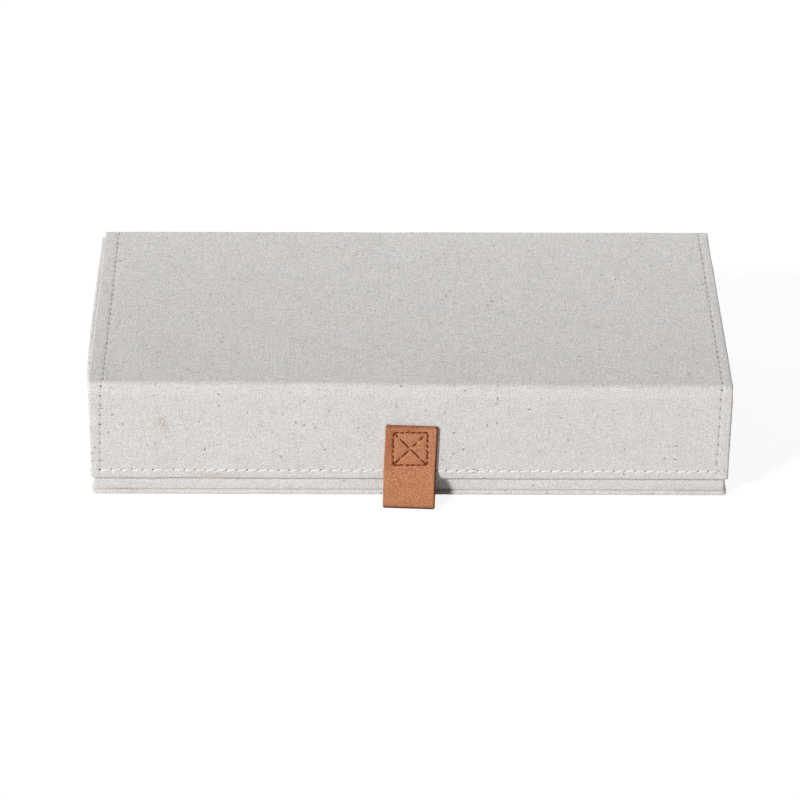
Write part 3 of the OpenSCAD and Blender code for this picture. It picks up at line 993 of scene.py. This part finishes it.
def woven(name, tone, count, grain, flecks, seams=False, stained=False):
    """Plain-woven cloth: fibres, uneven threads, flecks, slubs, blotches, painted shade in the weave's
    hollows, and where sewn painted shade at needle holes and seam grooves and a painted highlight below the
    front fold.
    """
    crossing_share, yarn_share, fine_share = 0.2, 0.62, 0.15
    warp_amount, weft_amount, blotch_amount = 0.025, 0.015, 0.035
    weave_shade_amount, weave_shade_middle, fold_highlight = 0.16, 0.62, 0.035
    thin, long = 1.6, 0.05
    slub_amount, warm_amount, warm = 0.4, 0.06, rgb(0.62, 0.5, 0.36)
    bump_depth, crossing_sink, fine_rise = 0.04 * MM, -0.3, 0.12
    dark = dimmed(tone, 0.34, 0.32, 0.29)
    g = material_graph(name)
    cloth = g.attribute("cloth")
    spot = in_mm(g)
    moved = wobble(g, spot)
    threads = weave(g, moved, count)
    grid = drawn_out(g, moved) if seams else moved
    yarn, crossing = yarns(g, grid, count / 2)
    fine_grain = g.noise(spot, 1.2, 3.0, 0.7)
    streak, bar = [g.noise(g.scaled(moved, *shape)) for shape in ((thin, long), (long, thin))]
    blotch = g.noise(spot, 0.03, 3.0)
    layers = ((fibres(g, grid), grain), (crossing, grain * crossing_share), (yarn, grain * yarn_share),
              (fine_grain, grain * fine_share), (streak, warp_amount), (bar, weft_amount),
              (blotch, blotch_amount))
    shade = 1.0
    for layer, amount in layers:
        shade = g.vary(shade, layer, amount)
    # Painted shade in the weave's hollows: the cloth is darker where its threads lie low.
    shade = g.vary(shade, threads, weave_shade_amount, weave_shade_middle)
    if seams:
        # Painted highlight: the cloth just below the front fold is made paler.
        shade = g.times_plus(painted_fold_highlight(g, cloth), fold_highlight, shade)
    colour = flecked(g, moved, g.tinted(tone, shade), flecks, dark)
    slub = g.step(0.66, 0.8, g.noise(g.scaled(moved, 1.1, 0.06), 1.0, 1.0))
    colour = g.mix(g.times(slub, g.times(fine_grain, slub_amount)), colour, dark)
    yellowed = g.step(0.45, 0.8, g.noise(spot, 0.045, 1.0))
    colour = g.mix(g.times(yellowed, warm_amount), colour, warm)
    height = g.times_plus(crossing, crossing_sink, g.times_plus(fine_grain, fine_rise, threads))
    if seams:
        # Painted shade at the needle holes and along the seam grooves.
        colour, height = shaded_needle_holes(g, cloth, colour, height, dark)
    if stained:
        colour = stains(g, spot, colour)
    rough = g.times_plus(fine_grain, 0.2, 0.78)
    return g.surface(Base_Color=colour, Roughness=rough, Normal=g.bump(height, bump_depth),
                     Specular_IOR_Level=0.18, Sheen_Weight=0.08, Sheen_Roughness=0.5)


def painted_fold_highlight(g, cloth):
    """Share of a painted highlight on the cloth just below the front fold, where it is made paler."""
    reach, fade = 2.8 * MM, 1.4 * MM
    v = g.split(cloth)[1]
    highlight_end = fold_end + reach
    return g.times(g.step(lid_end, fold_end, v), g.step(highlight_end + fade, highlight_end, v))


def stains(g, spot, colour):
    """Brown specks where the mesh's paint of brown marks allows them."""
    brown = rgb(0.42, 0.29, 0.19)
    patchy = g.step(0.46, 0.6, g.noise(spot, 1.1, 3.0, 0.7))
    return g.mix(g.times(g.attribute("brown_marks", "Fac"), patchy), colour, brown)


def shaded_needle_holes(g, cloth, colour, height, dark):
    """Painted shade in the needle holes at each pitch of the seams, drawn longer on the lid, and along the
    groove between them; the holes also sink the bump.
    """
    near, far, line_half = 0.36 * MM, 0.66 * MM, 0.4 * MM
    side_groove_shade, low_groove_shade, lid_draw, lid_fade = 0.32, 0.07, 0.66, 0.35
    low_shift, least, strength, sink = low_slant * 0.6, 0.5, 0.95, -4.0
    # Tone of the painted shade in holes and grooves.
    hole_shade = dimmed(dark, 0.35, 0.34, 0.33)
    side_gap, low_gap, _ = g.split(g.attribute("seam"))
    u, v, _ = g.split(cloth)
    on_lid = g.step(lid_end, lid_end - MM, g.math("ABSOLUTE", v))
    rows = ((v, 0.5, side_gap, 0.0, side_groove_shade), (u, 0.0, low_gap, low_shift, low_groove_shade))
    for along, shift, gap, up, groove in rows:
        turns = g.times_plus(along, 1 / pitch, shift)
        off = g.times(g.math("SUBTRACT", g.math("FRACT", turns), 0.5), pitch)
        off = g.times(off, g.times_plus(on_lid, -lid_draw, 1.0))
        beside = g.plus(gap, up)
        away = g.math("SQRT", g.plus(g.times(off, off), g.times(beside, beside)))
        luck = white_noise(g, g.math("FLOOR", turns), g.math("SIGN", u))
        hole = g.times(g.step(far, near, away), g.times_plus(luck, 1 - least, least))
        hole = g.times(hole, g.times_plus(on_lid, -lid_fade, 1.0))
        # Painted shade along the seam's groove.
        line = g.times(g.step(line_half, 0.0, g.math("ABSOLUTE", gap)), groove)
        colour = g.mix(g.math("MAXIMUM", g.times(hole, strength), line), colour, hole_shade)
        height = g.times_plus(hole, sink, height)
    return colour, height


def thread_material(name, tone, shine):
    """Two-ply sewing thread with a slanting lay."""
    per_length, per_round, lay_amount, fuzz_amount, least = 9.0, 7.0, 0.08, 0.3, 0.82
    stitch_scale = 0.01
    bump_depth = 0.04 * MM
    g = material_graph(name)
    spot = g.scaled(g.attribute("cloth"), 1 / MM, 1 / MM, stitch_scale)
    around, along, _ = g.split(spot)
    lay = g.math("SINE", g.times_plus(along, per_length, g.times(around, per_round)))
    fuzz = g.noise(spot, 2.2)
    shade = g.times_plus(lay, lay_amount, g.times_plus(fuzz, fuzz_amount, least))
    rough = g.times_plus(fuzz, 0.2, 0.6)
    return g.surface(Base_Color=g.tinted(tone, shade), Roughness=rough, Normal=g.bump(lay, bump_depth),
                     Specular_IOR_Level=shine)


def leather_material():
    """Tan leather with a pebbled grain, redder at its upper left, darker at its foot, and at its cut edges
    dark with edge dye and painted shade.
    """
    tone, redder, foot_shade = rgb(0.54, 0.235, 0.124), rgb(0.87, 0.77, 0.72), rgb(0.86, 0.86, 0.83)
    edge_dye_and_shade_tone, powers = rgb(0.05, 0.016, 0.009), (0.9, 1.2, 1.45)
    mottle_amount, pebble_amount, cloud_amount, least = 2.2, -0.6, 0.16, 0.2
    side_x, side_s, head_x, head_s = (-6.0, -12.0), (34.0, 18.0), (9.0, -4.0), (5.0, 0.5)
    foot_s = tab_len / MM - 3.6, tab_len / MM - 0.6
    bump_depth = 0.12 * MM
    g = material_graph("leather")
    spot = in_mm(g)
    pebble = g.cells(spot, 1.4)["Distance"]
    mottle = g.noise(spot, 1.7, 3.0, 0.7)
    shade = g.vary(1.0, mottle, mottle_amount)
    shade = g.vary(shade, pebble, pebble_amount, middle=0.35)
    shade = g.vary(shade, g.noise(spot, 0.12), cloud_amount)
    shade = g.math("MAXIMUM", shade, least)
    colour = g.tinted(tone, *(g.math("POWER", shade, power) for power in powers))
    x, s, _ = g.split(spot)
    side = g.times(g.step(*side_x, x), g.step(*side_s, s))
    head = g.times(g.step(*head_x, x), g.step(*head_s, s))
    colour = g.mix(g.math("MAXIMUM", side, head), colour, redder, "MULTIPLY")
    colour = g.mix(g.step(*foot_s, s), colour, foot_shade, "MULTIPLY")
    # Dark edge dye with painted shade at the cut edges.
    colour = g.mix(g.attribute("edge_dye_and_shade", "Fac"), colour, edge_dye_and_shade_tone)
    height = g.times_plus(mottle, 0.6, g.times(pebble, -1.0))
    rough = g.times_plus(mottle, 0.25, 0.5)
    return g.surface(Base_Color=colour, Roughness=rough, Normal=g.bump(height, bump_depth),
                     Specular_IOR_Level=0.16)


def greyboard_material():
    """Dense greyboard with pressed fibres."""
    tone, bump_depth = rgb(0.34, 0.31, 0.27), 0.08 * MM
    g = material_graph("greyboard")
    spot = g.node("TexCoord").outputs["Object"]
    fibre = g.noise(spot, 900.0, 4.0, 0.7)
    shade = g.times_plus(fibre, 0.5, g.times_plus(g.noise(spot, 60.0), 0.2, 0.65))
    rough = g.times_plus(fibre, 0.15, 0.82)
    return g.surface(Base_Color=g.tinted(tone, shade), Roughness=rough, Normal=g.bump(fibre, bump_depth))


def steel_material():
    """Plated steel with a faint brushed grain."""
    tone, bump_depth = rgb(0.55, 0.56, 0.57), 0.01 * MM
    g = material_graph("steel")
    grain = g.noise(g.scaled(g.node("TexCoord").outputs["Object"], 400, 4000, 400))
    shade = g.times_plus(grain, 0.2, 0.9)
    rough = g.times_plus(grain, 0.2, 0.25)
    return g.surface(Base_Color=g.tinted(tone, shade), Roughness=rough, Metallic=1.0,
                     Normal=g.bump(grain, bump_depth))


# Putting the pieces in place

def dress(piece, material, body, slot, *nodes):
    """Gives a piece its material and body, and hides the model's pieces that it stands for; its slot is not
    used.
    """
    piece.data.materials.append(material)
    if body:
        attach(piece, body)
    if nodes:
        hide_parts(*nodes)
    return piece


linen_tone = rgb(0.668, 0.65, 0.636)
linen_look = dict(tone=linen_tone, count=2.5, grain=0.29, flecks=0.105, stained=True)
linen_sewn = woven("linen_sewn", seams=True, **linen_look)
linen_plain = woven("linen_plain", **linen_look)
lining = woven("lining", tone=rgb(0.60, 0.56, 0.50), count=2.6, grain=0.15, flecks=0.05)
pale_thread = thread_material("pale_thread", rgb(0.92, 0.905, 0.88), shine=0.2)
dark_thread = thread_material("dark_thread", rgb(0.175, 0.037, 0.008), shine=0.06)
leather = leather_material()
greyboard = greyboard_material()
steel = steel_material()

dress(lid_linen(), linen_sewn, "lid", "linen", "lid_cover")
dress(flap_linen(), linen_sewn, "flap", "linen", "flap_cover")
dress(spine_linen(), linen_sewn, "tray", "linen", "spine_cover")
front_hinge = dress(hinge_linen("front_hinge_linen", 1), linen_sewn, None, "linen", "front_hinge_cloth")
rear_hinge = dress(hinge_linen("rear_hinge_linen", -1), linen_sewn, None, "linen", "rear_hinge_cloth")
dress(tray_linen(), linen_plain, "tray", "linen", "tray_cover")
dress(base_linen(), linen_plain, "tray", "linen", "bottom_cover")

lid_thread, flap_thread, spine_thread, front_thread, rear_thread = seam_threads()
dress(lid_thread, pale_thread, "lid", "thread", "lid_stitching")
dress(flap_thread, pale_thread, "flap", "thread", "flap_stitching")
dress(spine_thread, pale_thread, "tray", "thread", "spine_stitching")
dress(front_thread, pale_thread, None, "thread")
dress(rear_thread, pale_thread, None, "thread")

for piece in (front_hinge, front_thread):
    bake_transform(piece)
for piece in (rear_hinge, rear_thread):
    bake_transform(piece)

lining_edge = 0.15 * MM
divider_edge, divider_steps, divider_count = 0.9 * MM, 5, 4
dress(wall_lining_cloth(), lining, "tray", "lining", "wall_lining")
dress(left_wall_board(), greyboard, "tray", "greyboard", "left_wall")
for node, body in (("lid_lining", "lid"), ("flap_lining", "flap"), ("floor_lining", "tray")):
    lo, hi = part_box(node)
    dress(slab(node + "_cloth", lo, hi, lining_edge), lining, body, "lining", node)
for i in range(1, divider_count + 1):
    lo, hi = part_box(f"divider_{i}")
    cloth = slab(f"divider_cloth_{i}", lo, hi, divider_edge, divider_steps)
    dress(cloth, lining, "tray", "lining", f"divider_{i}")

dress(tab_leather(), leather, "flap", "leather", "pull_tab")
dress(tab_sewing(), dark_thread, "flap", "tab_thread", "tab_stitching")

for node in ("bottom_board", "tray_floor", "front_wall", "back_wall", "right_wall", "divider_boards",
             "spine_board", "lid_board", "flap_board", "keepers", "flap_magnets"):
    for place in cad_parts[node].material_slots:
        place.link = "OBJECT"
        place.material = steel if node in ("keepers", "flap_magnets") else greyboard

# Studio: camera, floor, world and lamps

photo_px = 800
focal_px = 3916.5
sensor_mm = 36.0
white = rgb(1, 1, 1)
cam_place = (-0.03542, -1.85203, 1.07111)
cam_yaw, cam_pitch, cam_roll = (math.radians(a) for a in (0.9682, 29.8314, 0.6746))


def placed(name, data, place, *axes):
    """Camera or lamp at a place, turned to three axes."""
    thing = linked(name, data)
    thing.matrix_world = Matrix.Translation(place) @ Matrix(np.stack(axes, 1).tolist()).to_4x4()
    return thing


def studio_camera():
    """Camera at the photograph's place and angle."""
    cy, sy, cp, sp = math.cos(cam_yaw), math.sin(cam_yaw), math.cos(cam_pitch), math.sin(cam_pitch)
    ahead = np.array([sy * cp, cy * cp, -sp])
    right = np.array([cy, -sy, 0.0])
    up = np.cross(right, ahead)
    c, s = math.cos(cam_roll), math.sin(cam_roll)
    right, up = c * right + s * up, c * up - s * right
    data = bpy.data.cameras.new("camera")
    data.sensor_width = sensor_mm
    data.lens = focal_px * sensor_mm / photo_px
    data.clip_start, data.clip_end = 0.05, 50
    bpy.context.scene.camera = placed("camera", data, cam_place, right, up, -ahead)


def background_ray(g):
    """Share of a ray that shows the background: seen by the camera, in gloss or through glass."""
    rays = g.node("LightPath").outputs
    seen = g.math("MAXIMUM", rays["Is Camera Ray"], rays["Is Glossy Ray"])
    return g.math("MAXIMUM", seen, rays["Is Transmission Ray"])


def by_ray(g, other, seen, end):
    """Ends a graph with one shader for the background's rays and one for all others."""
    both = g.node("MixShader", {0: background_ray(g), 1: other.outputs[0], 2: seen.outputs[0]})
    g.links.new(both.outputs[0], g.nodes[end].inputs["Surface"])


def studio_floor():
    """Pale floor that shows as white and keeps a faint shadow."""
    half, drop, glow, pale, dim = 6.0, -0.2 * MM, 0.88, 0.86, 0.2
    mesh = bpy.data.meshes.new("floor")
    corners = [(x * half, y * half, drop) for x, y in ((-1, -1), (1, -1), (1, 1), (-1, 1))]
    mesh.from_pydata(corners, [], [(0, 1, 2, 3)])
    g = material_graph("floor")
    g.nodes.remove(g.nodes["Principled BSDF"])
    plain = g.node("BsdfDiffuse", {"Color": rgb(pale, pale, pale)})
    faint = g.node("BsdfDiffuse", {"Color": rgb(dim, dim, dim)})
    bright = g.node("Emission", {"Color": white, "Strength": glow})
    by_ray(g, plain, g.node("AddShader", {0: bright.outputs[0], 1: faint.outputs[0]}), "Material Output")
    mesh.materials.append(g.owner)
    floor = linked("floor", mesh)


def studio_world(strength):
    """Even light from all round; the background itself is white."""
    g = Graph(bpy.data.worlds.new("studio"))
    bpy.context.scene.world = g.owner
    glow = g.nodes["Background"]
    g.put(glow.inputs["Color"], white)
    g.put(glow.inputs["Strength"], strength)
    by_ray(g, glow, g.node("Background", {"Color": white, "Strength": 1.0}), "World Output")


def studio_lamp(name, place, target, size, power, tint):
    """Soft box of a width and a height that faces a target, out of the camera's sight."""
    data = bpy.data.lights.new(name, "AREA")
    data.shape = "RECTANGLE"
    data.size, data.size_y = size
    data.energy = power
    data.color = tint
    way = np.array(target, float) - np.array(place, float)
    back = -way / np.linalg.norm(way)
    side = np.cross((0, 0, 1), back)
    side /= np.linalg.norm(side)
    lamp = placed(name, data, place, side, np.cross(back, side), back)
    lamp.visible_camera = False


def aimed(distance, left, up):
    """Place at a distance from the box, at angles in degrees to the left of the front and up."""
    a, e = math.radians(left), math.radians(up)
    flat = distance * math.cos(e)
    return -flat * math.sin(a), -flat * math.cos(a), distance * math.sin(e)


middle = (0, 0, 0.04)
studio_camera()
studio_floor()
studio_world(0.02)
studio_lamp("key", aimed(10, 45, 28), middle, (1.6, 1.6), 1135.0, (1.0, 0.992, 0.985))
studio_lamp("top", (0.05, 0.6, 0.65), middle, (1.4, 0.4), 4.75, (0.955, 0.975, 0.99))
studio_lamp("fill", (0.95, 0.1, 0.12), (0.17, 0.0, 0.03), (0.3, 0.25), 0.9, (1.0, 0.99, 0.98))
bpy.context.scene.view_settings.view_transform = "Standard"
